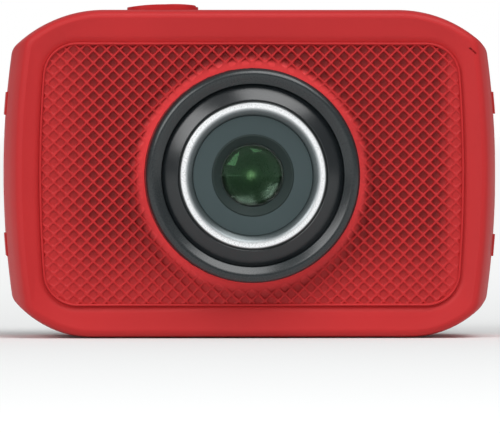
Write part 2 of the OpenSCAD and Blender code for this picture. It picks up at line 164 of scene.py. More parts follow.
def case_ring(y, side=0.0, edge=0.0):
    return full_ring(case_quarter(side, edge, TOP_FLAT, TOP_R),
                     case_quarter(side, edge, BOTTOM_FLAT, BOTTOM_R), MID_Z, y)


def bowed_ring(y, half, top, r, side_r, z):
    """Ring of a rectangle with bowed sides and rounded corners."""
    b = (half - side_r, 0.0)
    corner = Vector((b[0] + sqrt((side_r - r) ** 2 - (top - r) ** 2), top - r))
    lean = atan2(corner.y, corner.x - b[0])
    part = quarter(corner.x, arc(corner, r, pi / 2, lean, CORNER_STEPS + RIDGE_STEPS),
                   arc(b, side_r, lean, 0, SIDE_STEPS), top)
    return full_ring(part, part, z, y)


def panel_ring(y, grow=0.0):
    return bowed_ring(y, PANEL_HALF + grow, PANEL_TOP + grow, PANEL_CORNER_R + grow,
                      PANEL_SIDE_R + grow, PANEL_Z)


def window_ring(y, grow=0.0, half=None, top=None):
    half = window_high.x if half is None else half
    top = (window_high.z - window_low.z) / 2 if top is None else top
    return bowed_ring(y, half + grow, top + grow, 1.2, 4000.0, MID_Z)


def lens_circle(y, r):
    """Ring around the lens axis, with its points where those of a case ring lie."""
    around = panel_ring(y)
    angles = [atan2(p.z - AXIS_Z, p.x) for p in around]
    return [Vector((r * cos(a), y, AXIS_Z + r * sin(a))) for a in angles]


# -- meshes ------------------------------------------------------------------------
def piece(name, points, faces, sharp=32):
    """An object from points in millimetres, shaded smooth except at sharp edges."""
    mesh = bpy.data.meshes.new(name)
    mesh.from_pydata([tuple(Vector(p) * MM) for p in points], [], faces)
    mesh.validate()
    bm = bmesh.new()
    bm.from_mesh(mesh)
    bmesh.ops.recalc_face_normals(bm, faces=bm.faces)
    bm.to_mesh(mesh)
    bm.free()
    obj = bpy.data.objects.new(name, mesh)
    bpy.context.scene.collection.objects.link(obj)
    shade(obj, sharp)
    return obj


def shade(obj, sharp=32):
    obj.data.shade_smooth()
    obj.data.set_sharp_from_angle(angle=radians(sharp))


def loft(name, rings, closed=True, sharp=32):
    """Skin over rings with equal point counts. Closed joins the last ring to the first."""
    n = len(rings[0])
    points = [p for ring in rings for p in ring]
    faces = []
    for k in range(len(rings) if closed else len(rings) - 1):
        a, b = k * n, (k + 1) % len(rings) * n
        faces += [(a + i, a + (i + 1) % n, b + (i + 1) % n, b + i) for i in range(n)]
    if not closed:
        faces += [tuple(range(n)), tuple(range((len(rings) - 1) * n, len(rings) * n))]
    return piece(name, points, faces, sharp)


def lathe(name, profile, steps=160, sharp=32):
    """Turns (radius, depth) points about the lens axis. Radius 0 ends the skin there."""
    points, faces, starts = [], [], []
    for r, y in profile:
        starts.append(len(points))
        count = 1 if r == 0 else steps
        points += [Vector((r * cos(2 * pi * i / steps), y, AXIS_Z + r * sin(2 * pi * i / steps)))
                   for i in range(count)]
    for k in range(len(profile)):
        following = (k + 1) % len(profile)
        a, b = starts[k], starts[following]
        tip_a, tip_b = profile[k][0] == 0, profile[following][0] == 0
        for i in range(steps):
            j = (i + 1) % steps
            if tip_a and tip_b:
                break
            if tip_a:
                faces.append((a, b + j, b + i))
            elif tip_b:
                faces.append((a + i, a + j, b))
            else:
                faces.append((a + i, a + j, b + j, b + i))
    return piece(name, points, faces, sharp)


def rounded_profile(corners, radii, steps=5):
    """Corner points with each corner turned into an arc-like curve of its radius."""
    points = []
    count = len(corners)
    for k in range(count):
        here = Vector(corners[k])
        before = Vector(corners[k - 1]) - here
        after = Vector(corners[(k + 1) % count]) - here
        reach = min(radii[k], before.length * 0.48, after.length * 0.48)
        if reach <= 0:
            points.append(tuple(here))
            continue
        start = here + before.normalized() * reach
        end = here + after.normalized() * reach
        for i in range(steps + 1):
            t = i / steps
            points.append(tuple(start * (1 - t) ** 2 + here * 2 * t * (1 - t) + end * t * t))
    return points


def block(name, low, high):
    """Box for cutting."""
    xs, ys, zs = zip(low, high)
    points = [(x, y, z) for x in xs for y in ys for z in zs]
    faces = [(0, 1, 3, 2), (4, 6, 7, 5), (0, 4, 5, 1), (2, 3, 7, 6), (0, 2, 6, 4), (1, 5, 7, 3)]
    return piece(name, points, faces)


def pillar(name, outline, low, high):
    """Upright prism over an outline of (x, y) points, for cutting."""
    return loft(name, [[Vector((x, y, low)) for x, y in outline],
                       [Vector((x, y, high)) for x, y in outline]], closed=False)


def bar(name, outline, low, high):
    """Prism along Y over an outline of (x, z) points."""
    return loft(name, [[Vector((x, low, z)) for x, z in outline],
                       [Vector((x, high, z)) for x, z in outline]], closed=False)


def circle(x, y, r, steps=48):
    return [(x + r * cos(2 * pi * i / steps), y + r * sin(2 * pi * i / steps))
            for i in range(steps)]


def round_rect(x, y, w, l, r, steps=10):
    points = []
    for k, (sx, sy) in enumerate(((1, 1), (-1, 1), (-1, -1), (1, -1))):
        cx, cy = x + sx * (w / 2 - r), y + sy * (l / 2 - r)
        points += [(cx + r * cos(pi / 2 * (k + i / steps)), cy + r * sin(pi / 2 * (k + i / steps)))
                   for i in range(steps + 1)]
    return points


def carve(obj, cutters, operation="DIFFERENCE", sharp=32):
    """Cuts obj with each cutter and throws the cutters away."""
    for cutter in cutters:
        step = obj.modifiers.new("cut", "BOOLEAN")
        step.object, step.operation, step.solver = cutter, operation, "EXACT"
    bake(obj, sharp)
    for cutter in cutters:
        bpy.data.objects.remove(cutter)


def bake(obj, sharp=32):
    """Turns the modifiers of obj into its mesh."""
    graph = bpy.context.evaluated_depsgraph_get()
    mesh = bpy.data.meshes.new_from_object(obj.evaluated_get(graph))
    obj.modifiers.clear()
    obj.data = mesh
    shade(obj, sharp)


def soften(obj, width, segments=3, angle=30):
    """Rounds the sharp edges of obj."""
    step = obj.modifiers.new("soft edges", "BEVEL")
    step.width, step.segments = width * MM, segments
    step.limit_method, step.angle_limit = "ANGLE", radians(angle)
    step.harden_normals = True
    step.use_clamp_overlap = True


def cad_copy(name, node):
    """The CAD node's own mesh as a clean new object."""
    source = nodes[node]
    bm = bmesh.new()
    bm.from_mesh(source.data)
    bm.transform(source.matrix_world)
    bmesh.ops.remove_doubles(bm, verts=bm.verts, dist=0.002 * MM)
    bmesh.ops.dissolve_limit(bm, angle_limit=radians(0.6), verts=bm.verts, edges=bm.edges)
    mesh = bpy.data.meshes.new(name)
    bm.to_mesh(mesh)
    bm.free()
    obj = bpy.data.objects.new(name, mesh)
    bpy.context.scene.collection.objects.link(obj)
    shade(obj)
    return obj


# -- materials ---------------------------------------------------------------------
RED = (0.5, 0.021, 0.023)


def start_material(name):
    mat = bpy.data.materials.new(name)
    mat.use_nodes = True
    tree = mat.node_tree
    shader = next(n for n in tree.nodes if n.type == "BSDF_PRINCIPLED")
    coords = tree.nodes.new("ShaderNodeTexCoord")
    return mat, tree, shader, coords.outputs["Object"]


def noise(tree, where, scale, detail=3.0, stretch=None):
    """Noise of a scale per metre, stretched along an axis where asked for."""
    if stretch:
        mapping = tree.nodes.new("ShaderNodeMapping")
        mapping.inputs["Scale"].default_value = stretch
        tree.links.new(where, mapping.inputs["Vector"])
        where = mapping.outputs["Vector"]
    node = tree.nodes.new("ShaderNodeTexNoise")
    node.inputs["Scale"].default_value = scale
    node.inputs["Detail"].default_value = detail
    tree.links.new(where, node.inputs["Vector"])
    return node.outputs["Fac"]


def remap(tree, value, low, high, start=0.3, end=0.7):
    node = tree.nodes.new("ShaderNodeMapRange")
    node.inputs["From Min"].default_value = start
    node.inputs["From Max"].default_value = end
    node.inputs["To Min"].default_value = low
    node.inputs["To Max"].default_value = high
    tree.links.new(value, node.inputs["Value"])
    return node.outputs["Result"]


def blend_colours(tree, factor, a, b):
    node = tree.nodes.new("ShaderNodeMix")
    node.data_type = "RGBA"
    tree.links.new(factor, node.inputs["Factor"])
    for socket, colour in ((node.inputs["A"], a), (node.inputs["B"], b)):
        if isinstance(colour, tuple):
            socket.default_value = (*colour, 1)
        else:
            tree.links.new(colour, socket)
    return node.outputs["Result"]


def bump(tree, shader, height, strength, distance):
    node = tree.nodes.new("ShaderNodeBump")
    node.inputs["Strength"].default_value = strength
    node.inputs["Distance"].default_value = distance * MM
    tree.links.new(height, node.inputs["Height"])
    tree.links.new(node.outputs["Normal"], shader.inputs["Normal"])


def shades(colour, spread):
    return tuple(tuple(min(1.0, c * k) for c in colour) for k in (1 - spread, 1 + spread))


def finish(name, colour, rough=0.4, metal=0.0, coat=0.0, spread=0.05, rough_spread=0.06,
           grain=9000.0, grain_depth=0.01, stretch=None, coat_rough=0.1, specular=0.5):
    """A surface with soft colour variation, uneven gloss and a fine grain."""
    mat, tree, shader, where = start_material(name)
    broad = noise(tree, where, 90.0, 4.0)
    dark, light = shades(colour, spread)
    tree.links.new(blend_colours(tree, remap(tree, broad, 0.0, 1.0), dark, light),
                   shader.inputs["Base Color"])
    fine = noise(tree, where, grain, 2.0, stretch)
    tree.links.new(remap(tree, fine, rough - rough_spread, rough + rough_spread),
                   shader.inputs["Roughness"])
    bump(tree, shader, fine, 0.5, grain_depth)
    shader.inputs["Metallic"].default_value = metal
    shader.inputs["Coat Weight"].default_value = coat
    shader.inputs["Coat Roughness"].default_value = coat_rough
    shader.inputs["Specular IOR Level"].default_value = specular
    return mat, tree, shader, where


def plain(*args, **kinds):
    return finish(*args, **kinds)[0]


def board_material():
    """Green solder mask with pads and tracks."""
    mat, tree, shader, where = finish("circuit_board", (0.02, 0.16, 0.07), rough=0.35,
                                      coat=0.4, grain=2500.0, grain_depth=0.02)
    cells = tree.nodes.new("ShaderNodeTexBrick")
    cells.inputs["Scale"].default_value = 420.0
    cells.inputs["Mortar Size"].default_value = 0.05
    cells.inputs["Color1"].default_value = (0.02, 0.17, 0.07, 1)
    cells.inputs["Color2"].default_value = (0.015, 0.12, 0.05, 1)
    cells.inputs["Mortar"].default_value = (0.05, 0.28, 0.13, 1)
    turned = tree.nodes.new("ShaderNodeMapping")
    turned.inputs["Rotation"].default_value = (pi / 2, 0, 0)
    tree.links.new(where, turned.inputs["Vector"])
    tree.links.new(turned.outputs["Vector"], cells.inputs["Vector"])
    tree.links.new(cells.outputs["Color"], shader.inputs["Base Color"])
    return mat


def foil_material():
    """Wrinkled silver wrap of the battery."""
    mat, tree, shader, where = finish("battery_foil", (0.6, 0.62, 0.65), rough=0.3, metal=0.9)
    folds = noise(tree, where, 260.0, 6.0)
    bump(tree, shader, folds, 0.6, 0.2)
    return mat


def flex_material():
    """Amber film with copper lines."""
    mat, tree, shader, where = finish("flex_film", (0.6, 0.3, 0.05), rough=0.35, coat=0.5)
    lines = tree.nodes.new("ShaderNodeTexWave")
    lines.inputs["Scale"].default_value = 500.0
    tree.links.new(where, lines.inputs["Vector"])
    tree.links.new(blend_colours(tree, lines.outputs["Fac"], (0.55, 0.26, 0.04),
                                 (0.75, 0.36, 0.12)), shader.inputs["Base Color"])
    return mat


def turned_metal(name, colour, rough):
    """Metal turned on a lathe, with fine rings around its upright axis."""
    mat, tree, shader, where = start_material(name)
    split = tree.nodes.new("ShaderNodeSeparateXYZ")
    tree.links.new(where, split.inputs["Vector"])
    rings = noise(tree, split.outputs["Z"], 16000.0, 2.0)
    tree.links.new(remap(tree, rings, rough * 0.8, rough * 1.3), shader.inputs["Roughness"])
    dark, light = shades(colour, 0.04)
    tree.links.new(blend_colours(tree, noise(tree, where, 140.0), dark, light),
                   shader.inputs["Base Color"])
    bump(tree, shader, rings, 0.15, 0.003)
    shader.inputs["Metallic"].default_value = 1.0
    return mat


def panel_material():
    """Red satin, with painted shade that darkens the floor of each pit and a painted highlight
    that brightens the collar around the lens.
    """
    mat, tree, shader, where = finish("red_knurled", RED, rough=0.48, grain=14000.0,
                                      grain_depth=0.006, specular=0.25)
    depth = tree.nodes.new("ShaderNodeAttribute")
    depth.attribute_name = "painted_light_and_shade"
    dark, light = shades(RED, 0.03)
    skin = blend_colours(tree, remap(tree, noise(tree, where, 90.0, 4.0), 0.0, 1.0), dark, light)
    # Painted shade: the pit floors are painted a darker red the deeper they sink.
    skin = blend_colours(tree, remap(tree, depth.outputs["Fac"], 0.0, 1.0, 0.1, 1.0), skin,
                         (0.27, 0.016, 0.016))
    # Painted highlight: the collar around the lens is painted a brighter red.
    tree.links.new(blend_colours(tree, remap(tree, depth.outputs["Fac"], 1.0, 0.0, -1.0, 0.0),
                                 skin, (0.95, 0.06, 0.065)), shader.inputs["Base Color"])
    return mat


def radial(tree, where, radius):
    """Distance from the lens axis as a share of radius."""
    flat = tree.nodes.new("ShaderNodeMapping")
    flat.inputs["Location"].default_value = (0, 0, -AXIS_Z / radius)
    flat.inputs["Scale"].default_value = (1 / (radius * MM), 0, 1 / (radius * MM))
    tree.links.new(where, flat.inputs["Vector"])
    length = tree.nodes.new("ShaderNodeVectorMath")
    length.operation = "LENGTH"
    tree.links.new(flat.outputs["Vector"], length.inputs[0])
    return length.outputs["Value"]


def colour_ramp(tree, share, stops):
    """Colour that changes with share through (place, colour) stops."""
    ramp = tree.nodes.new("ShaderNodeValToRGB")
    ends = ramp.color_ramp.elements
    for element, (place, colour) in zip(list(ends), (stops[0], stops[-1])):
        element.position, element.color = place, (*colour, 1)
    for place, colour in stops[1:-1]:
        ends.new(place).color = (*colour, 1)
    tree.links.new(share, ramp.inputs["Fac"])
    return ramp.outputs["Color"]


def chrome_material():
    """Chrome ring whose colour carries a painted highlight on its crest and painted shade on its
    inner and outer edges.
    """
    mat, tree, shader, where = finish("chrome_painted_highlight", (0.9, 0.9, 0.9), rough=0.28, metal=0.35,
                                      spread=0.01, rough_spread=0.02, grain_depth=0.0)
    # Painted highlight across the crest, painted shade towards both edges.
    stops = ((0.82, (0.05, 0.066, 0.068)), (0.86, (0.1, 0.12, 0.125)),
             (0.885, (0.3, 0.33, 0.34)), (0.915, (0.93, 0.95, 0.96)),
             (0.955, (0.93, 0.95, 0.96)), (0.975, (0.02, 0.024, 0.025)))
    tree.links.new(colour_ramp(tree, radial(tree, where, 10.0), stops),
                   shader.inputs["Base Color"])
    return mat


def coated_glass_painted_reflection():
    """Inner element: a green metal-like coating that reflects the lamps, with a painted reflection
    in its colour, a bright green glow at the centre and a lighter ring further out, and painted
    shade black towards its rim.
    """
    mat, tree, shader, where = finish("coated_glass_painted_reflection", (0.2, 0.45, 0.2), rough=0.27,
                                      rough_spread=0.04, grain_depth=0.002)
    # Painted reflection: bright green at the centre and a lighter ring near the rim; painted shade
    # black at the very edge.
    stops = ((0.0, (0.2, 0.4, 0.17)), (0.18, (0.014, 0.045, 0.015)),
             (0.34, (0.003, 0.009, 0.004)), (0.6, (0.006, 0.016, 0.008)),
             (0.85, (0.02, 0.034, 0.024)), (0.97, (0.001, 0.002, 0.001)))
    tree.links.new(colour_ramp(tree, radial(tree, where, 3.6), stops),
                   shader.inputs["Base Color"])
    shader.inputs["Metallic"].default_value = 0.8
    return mat


def clear_glass(name, tint, sheen, rough=0.01):
    """Polished clear glass with faint dust in its gloss."""
    mat, tree, shader, where = start_material(name)
    dust = noise(tree, where, 3000.0, 5.0)
    tree.links.new(remap(tree, dust, rough, rough + 0.008, 0.55, 0.8), shader.inputs["Roughness"])
    dark, light = shades(tint, 0.02)
    tree.links.new(blend_colours(tree, noise(tree, where, 120.0), dark, light),
                   shader.inputs["Base Color"])
    shader.inputs["Transmission Weight"].default_value = 1.0
    shader.inputs["IOR"].default_value = 1.5
    shader.inputs["Specular Tint"].default_value = (*sheen, 1)
    return mat


red_shell = plain("red_satin", RED, rough=0.5, spread=0.03, grain=14000.0,
                  grain_depth=0.006, specular=0.25)
red_panel = panel_material()
gloss_black = plain("gloss_black", (0.014, 0.019, 0.021), rough=0.28, spread=0.08,
                    rough_spread=0.03, grain_depth=0.0005, specular=0.6)
dark_cone = plain("dark_cone", (0.009, 0.012, 0.014), rough=0.24, spread=0.06,
                  rough_spread=0.03, grain_depth=0.0005, specular=0.6)
grey_plate = plain("plate_grey", (0.05, 0.072, 0.075), rough=0.5, spread=0.05,
                   grain_depth=0.004, specular=0.2)
hood_black = plain("hood_black", (0.02, 0.032, 0.03), rough=0.6, grain_depth=0.004,
                   specular=0.2)
chrome_painted_highlight = chrome_material()
black_plastic = plain("black_plastic", (0.02, 0.02, 0.021), rough=0.5, grain=5000.0,
                      grain_depth=0.02)
rubber = plain("black_rubber", (0.015, 0.015, 0.015), rough=0.75, grain=4000.0,
               grain_depth=0.03, specular=0.3)
chip_black = plain("chip_black", (0.025, 0.026, 0.028), rough=0.55, grain=7000.0,
                   grain_depth=0.01)
sensor_face = plain("sensor_face", (0.07, 0.05, 0.13), rough=0.15, coat=1.0,
                    grain_depth=0.002, coat_rough=0.03)
port_steel = plain("pressed_steel", (0.62, 0.63, 0.65), rough=0.3, metal=1.0, grain=2600.0,
                   grain_depth=0.01, stretch=(0.2, 1, 1))
brass = turned_metal("threaded_brass", (0.78, 0.56, 0.24), 0.25)
screw_steel = plain("screw_steel", (0.1, 0.1, 0.105), rough=0.35, metal=0.8)
display_dark = plain("display_dark", (0.01, 0.011, 0.014), rough=0.25, coat=0.5,
                     grain_depth=0.002)
window_black = plain("window_glass", (0.006, 0.007, 0.009), rough=0.08, coat=1.0, spread=0.1,
                     rough_spread=0.03, grain_depth=0.001, coat_rough=0.02)
lead_red = plain("lead_red", (0.5, 0.02, 0.02), rough=0.5)
light_lens = plain("light_lens", (0.75, 0.77, 0.78), rough=0.25, coat=0.8, spread=0.04)
board = board_material()
foil = foil_material()
flex = flex_material()
inner_coat_painted_reflection = coated_glass_painted_reflection()
front_glass = clear_glass("front_glass", (0.96, 1.0, 0.97), (0.2, 0.5, 0.23))
filter_glass = clear_glass("filter_glass", (0.7, 0.85, 0.95), (0.8, 0.6, 0.9))


def dress(obj, material):
    obj.data.materials.clear()
    obj.data.materials.append(material)


def settle(obj, node, material, body="case"):
    """The piece stands for a CAD node, rides its body and takes its finish."""
    dress(obj, material)
    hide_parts(node)
    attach(obj, body)
    return obj


# -- case --------------------------------------------------------------------------
def eased(stations, steps=4):
    """Catmull-Rom curve through (depth, side, edge) stations."""
    curve = []
    for k in range(len(stations) - 1):
        p0, p1 = Vector(stations[max(k - 1, 0)]), Vector(stations[k])
        p2 = Vector(stations[k + 1])
        p3 = Vector(stations[min(k + 2, len(stations) - 1)])
        for i in range(steps):
            t = i / steps
            point = 0.5 * (2 * p1 + (p2 - p0) * t + (2 * p0 - 5 * p1 + 4 * p2 - p3) * t * t
                           + (3 * p1 - 3 * p2 + p3 - p0) * t ** 3)
            curve.append((point.x, max(point.y, 0.0), max(point.z, 0.0)))
    return curve + [tuple(stations[-1])]


def between(a, b, t, y):
    return [Vector((lerp(p.x, q.x, t), y, lerp(p.z, q.z, t))) for p, q in zip(a, b)]


SEAM = 0.14             # chamfer that shows where the two shells meet
FAR = 60.0              # how far cutters reach past the case
CAP_W, CAP_L, CAP_R = 5.9, 6.2, 2.35     # outline of the shutter button
KEY_SIDE, KEY_END = 0.75, 3.45           # from the left strip's edges to its keys
KEY_DEPTH = 8.0
PORT_X = 20.0           # inner end of the opening for the ports
SOCKET_DEPTH = 5.5
SLIT_X, SLIT_Z, SLIT_TURN = 29.6, 38.5, 41.0
SLIT_L, SLIT_W, SLIT_DEPTH = 1.2, 0.24, 0.4
SPEAKER_HOLE_R, SPEAKER_Y = 0.45, -4
screws_low, screws_high = cad_box("shell_screws")
HEAD_R, HEAD_DEPTH = 1.5, 1.4
SCREW_X = screws_high.x - HEAD_R
SCREW_ZS = (screws_low.z + HEAD_R, screws_high.z - HEAD_R)


def build_front_shell():
    """Front half of the case, with its frame, panel seat and openings."""
    outside = [(SPLIT_Y, SEAM, SEAM), (SPLIT_Y - SEAM, 0, 0)]
    outside += eased([(FRONT_Y + 5.4, 0, 0), (FRONT_Y + 2.4, 0.6, 0.05),
                      (FRONT_Y + 0.75, 1.2, 0.25), (FRONT_Y + 0.18, 1.65, 0.6),
                      (FRONT_Y, 2.2, 1.05)])
    rings = [case_ring(*station) for station in outside]
    crest = rings[-1]
    foot = panel_ring(FRAME_Y, 0.9)
    for t in (0.08, 0.18, 0.35, 0.55, 0.75):
        rings.append(between(crest, foot, t, lerp(FRAME_Y - 0.08, FRONT_Y, (1 - t) ** 1.2)))
    rings += [panel_ring(FRAME_Y - 0.08, 0.9), panel_ring(FRAME_Y - 0.02, 0.7),
              panel_ring(FRAME_Y + 0.06, 0.5), panel_ring(FRAME_Y + 0.14, 0.3),
              panel_ring(FRAME_Y + 0.19, 0.14), panel_ring(FRAME_Y + 0.21, 0.03),
              panel_ring(SEAT_Y, 0.03), lens_circle(SEAT_Y, RING_R + GAP),
              lens_circle(FRONT_WALL_Y, RING_R + GAP),
              case_ring(FRONT_WALL_Y, SIDE_WALL, WALL), case_ring(SPLIT_Y, SIDE_WALL, WALL)]
    shell = loft("front_case", rings)

    around_low, around_high = cad_box("button_surround")
    around = (around_low + around_high) / 2
    cap_low, cap_high = cad_box("shutter_button")
    cap = (cap_low + cap_high) / 2
    strip_low, strip_high = cad_box("key_bezel")
    ports_low, ports_high = cad_box("port_bezel")
    hinge = cad_middle("door_pin")
    seal_low, seal_high = cad_box("door_seal")
    cutters = [
        pillar("seat", round_rect(around.x, around.y, around_high.x - around_low.x,
                                  around_high.y - around_low.y, 3), around_low.z, FAR),
        pillar("shaft", round_rect(cap.x, cap.y, CAP_W + 0.3, CAP_L + 0.3, CAP_R), 35, FAR),
        block("keys", (-FAR, strip_low.y, strip_low.z), strip_high),
        block("key_slot", (-FAR, strip_low.y + KEY_SIDE, strip_low.z + KEY_END),
              (KEY_DEPTH - HALF_W, strip_high.y - KEY_SIDE, strip_high.z - KEY_END)),
        block("ports", (ports_low.x, ports_low.y - 0.15, ports_low.z),
              (FAR, ports_high.y + 0.15, ports_high.z)),
        pillar("knuckle", circle(hinge.x, hinge.y, 1.1), ports_low.z, ports_high.z),
        block("port_opening", (PORT_X, seal_low.y - 0.2, seal_low.z - 0.2),
              (FAR, seal_high.y + 0.2, seal_high.z + 0.2)),
        pillar("socket", circle(0, 0, cad_box("tripod_insert")[1].x), -1, SOCKET_DEPTH),
        slit_cutter(),
    ]
    cutters += [pillar("speaker_hole", circle(x, SPEAKER_Y, SPEAKER_HOLE_R, 24), -1, WALL + 1)
                for x in range(-21, -12, 2)]
    carve(shell, cutters)
    return shell


def slit_cutter():
    """Sound slit of the microphone, cut across the upper right of the front frame."""
    cutter = block("slit", (-SLIT_L / 2, FRONT_Y - 1, -SLIT_W / 2),
                   (SLIT_L / 2, FRONT_Y + SLIT_DEPTH, SLIT_W / 2))
    turn = Matrix.Rotation(radians(SLIT_TURN), 4, "Y")
    cutter.data.transform(Matrix.Translation(Vector((SLIT_X, 0, SLIT_Z)) * MM) @ turn)
    return cutter


def build_rear_shell():
    """Rear half of the case, with its window recess, screw seats and light holes."""
    outside = [(SPLIT_Y, SEAM, SEAM), (SPLIT_Y + SEAM, 0, 0)]
    outside += eased([(BACK_Y - 4.5, 0.1, 0.05), (BACK_Y - 3, 0.4, 0.2),
                      (BACK_Y - 1, 1.2, 0.75), (BACK_Y - 0.3, 1.9, 1.35),
                      (BACK_Y, 2.8, 2.1)])
    rings = [case_ring(*station) for station in outside]
    floor_y = BACK_Y - 1.1
    rings += [window_ring(BACK_Y, 0.25), window_ring(BACK_Y - 0.15, 0.1),
              window_ring(floor_y, 0.1), window_ring(floor_y, half=VIEW_HALF, top=VIEW_TOP),
              window_ring(BACK_WALL_Y, half=VIEW_HALF, top=VIEW_TOP),
              case_ring(BACK_WALL_Y, SIDE_WALL, WALL), case_ring(SPLIT_Y, SIDE_WALL, WALL)]
    shell = loft("rear_case", rings)
    heads = [(sx * SCREW_X, z) for sx in (-1, 1) for z in SCREW_ZS]
    cutters = [bar("head", circle(x, z, HEAD_R + 0.1, 32), BACK_Y - HEAD_DEPTH, FAR)
               for x, z in heads]
    lights_low, lights_high = cad_box("status_lights")
    light_r = (lights_high.x - lights_low.x) / 2
    for z in (lights_low.z + light_r, lights_high.z - light_r):
        cutters.append(bar("light", circle(lights_low.x + light_r, z, light_r, 24), 0, FAR))
    carve(shell, cutters)
    return shell


settle(build_front_shell(), "front_shell", red_shell)
settle(build_rear_shell(), "rear_shell", red_shell)

# -- knurled panel -----------------------------------------------------------------
PITCH = 1.25            # from pit to pit along the diagonals
# Half width of a pit as a share of the pitch, with the depth there.
PIT = ((0.5, 0.0), (0.45, 0.02), (0.415, 0.12), (0.39, 0.35), (0.35, 0.48), (0.28, 0.52))
COLLAR_R, COLLAR_DROP = 16.8, 0.2    # smooth collar that sinks towards the bezel
COLLAR_FADE = (14.7, 16.3)           # pits grow from nothing over these radii
# Painted highlight: the collar's brighter red fades out over these radii.
COLLAR_PAINTED_LIGHT = (14.6, 16.0)           # the collar's bright tone ends over these radii


def dish(x, z):
    """How far the field has sunk where it runs down to the lens bezel."""
    r = hypot(x, z - AXIS_Z)
    t = min(1.0, max(0.0, (COLLAR_R - r) / (COLLAR_R - RING_R)))
    return COLLAR_DROP * t * t * (1.6 - 0.6 * t)


def pit_share(x, z):
    """Full pits in the field, shallower ones towards the lower left and the edges."""
    right = smooth_step(0.3, 4.0, PANEL_HALF - x)
    left = 0.3 + 0.7 * smooth_step(0.0, 9.0, PANEL_HALF + x)
    bottom = 0.4 + 0.6 * smooth_step(0.0, 13.0, z - (PANEL_Z - PANEL_TOP))
    top = smooth_step(0.0, 0.8, PANEL_Z + PANEL_TOP - z)
    collar = smooth_step(*COLLAR_FADE, hypot(x, z - AXIS_Z))
    return max(0.25, right) * left * bottom * max(0.6, top) * collar


def knurled_field():
    """Lattice of square pits turned by 45 degrees, closed towards the back."""
    reach = int((PANEL_HALF + PANEL_TOP) / PITCH / sqrt(2)) + 3
    step = PITCH / sqrt(2)
    corners = [(-1, -1), (0, -1), (1, -1), (1, 0), (1, 1), (0, 1), (-1, 1), (-1, 0)]
    points, faces, known = [], [], {}

    def vertex(u, v, depth):
        x, z = (u - v) * step, AXIS_Z + (u + v) * step
        key = (round(u, 3), round(v, 3))
        if key not in known:
            known[key] = len(points)
            sunk = max(depth * pit_share(x, z), dish(x, z))
            points.append(Vector((x, FIELD_Y + sunk, z)))
        return known[key]

    for i in range(-reach, reach + 1):
        for j in range(-reach, reach + 1):
            x, z = (i - j) * step, AXIS_Z + (i + j) * step
            if abs(x) > PANEL_HALF + 1 or abs(z - PANEL_Z) > PANEL_TOP + 1:
                continue
            rings = []
            for half, depth in PIT:
                pull = 1.0 if half == 0.5 else 0.93
                rings.append([vertex(i + cu * half * (pull if cu and cv else 1),
                                     j + cv * half * (pull if cu and cv else 1), depth)
                              for cu, cv in corners])
            for a, b in zip(rings, rings[1:]):
                faces += [(a[k], a[(k + 1) % 8], b[(k + 1) % 8], b[k]) for k in range(8)]
            faces.append(tuple(rings[-1]))
    field = piece("field", points, faces)

    bm = bmesh.new()
    bm.from_mesh(field.data)
    rim = [e for e in bm.edges if e.is_boundary]
    grown = bmesh.ops.extrude_edge_only(bm, edges=rim)["geom"]
    for v in (g for g in grown if isinstance(g, bmesh.types.BMVert)):
        v.co.y = (SEAT_Y + 0.4) * MM
    bmesh.ops.edgeloop_fill(bm, edges=[g for g in grown if isinstance(g, bmesh.types.BMEdge)
                                       and g.is_boundary])
    bmesh.ops.recalc_face_normals(bm, faces=bm.faces)
    bm.to_mesh(field.data)
    bm.free()
    return field


def mark_painted_light_and_shade(field):
    """Stores the depth in a pit as 0 to 1 and the smooth collar as -1; the panel's material turns
    the depth into painted shade and the collar into a painted highlight.
    """
    deepest = PIT[-1][1]
    painted_light_and_shade = field.data.attributes.new("painted_light_and_shade", "FLOAT", "POINT")
    for v, item in zip(field.data.vertices, painted_light_and_shade.data):
        x, y, z = v.co / MM
        in_front = y < SEAT_Y - 0.1
        share = max(0.0, y - FIELD_Y - dish(x, z)) / deepest
        collar = 1 - smooth_step(*COLLAR_PAINTED_LIGHT, hypot(x, z - AXIS_Z))
        item.value = share - collar if in_front else 0.0


def build_panel():
    """Knurled field trimmed to the panel's outline, inside its raised rim."""
    field = knurled_field()
    inside = -RIM_W + 0.05
    hole = RING_R + GAP
    trim = loft("trim", [panel_ring(RIM_Y - 2, inside), panel_ring(SEAT_Y, inside),
                         lens_circle(SEAT_Y, hole), lens_circle(RIM_Y - 2, hole)])
    carve(field, [trim], "INTERSECT", sharp=75)
    mark_painted_light_and_shade(field)
    bead = loft("bead", [panel_ring(SEAT_Y, 0), panel_ring(RIM_Y + 0.22, 0),
                         panel_ring(RIM_Y + 0.09, -0.03), panel_ring(RIM_Y + 0.02, -0.09),
                         panel_ring(RIM_Y, -0.16), panel_ring(RIM_Y + 0.03, -0.24),
                         panel_ring(RIM_Y + 0.12, -0.31), panel_ring(FIELD_Y, -RIM_W),
                         panel_ring(SEAT_Y, -RIM_W)], sharp=60)
    return join("knurled_panel", field, bead)


def join(name, first, *rest):
    """Joins meshes that stay as they are into one object."""
    bm = bmesh.new()
    for obj in (first, *rest):
        bm.from_mesh(obj.data)
    bm.to_mesh(first.data)
    bm.free()
    for obj in rest:
        bpy.data.objects.remove(obj)
    first.name = name
    return first


settle(build_panel(), "front_panel", red_panel)

# -- lens stack --------------------------------------------------------------------
CARRIER_Y = cad_box("lens_carrier")[1].y
STACK_Y = cad_box("lens_carrier")[0].y
RING_BORE = cad_box("cone_ring")[1].x
CHROME_R = cad_box("chrome_ring")[1].x
PLATE_R = cad_box("lens_plate")[1].x
HOOD_R = cad_box("lens_hood")[1].x
GLASS_R = cad_box("front_lens")[1].x
PLATE_Y = cad_box("lens_plate")[0].y

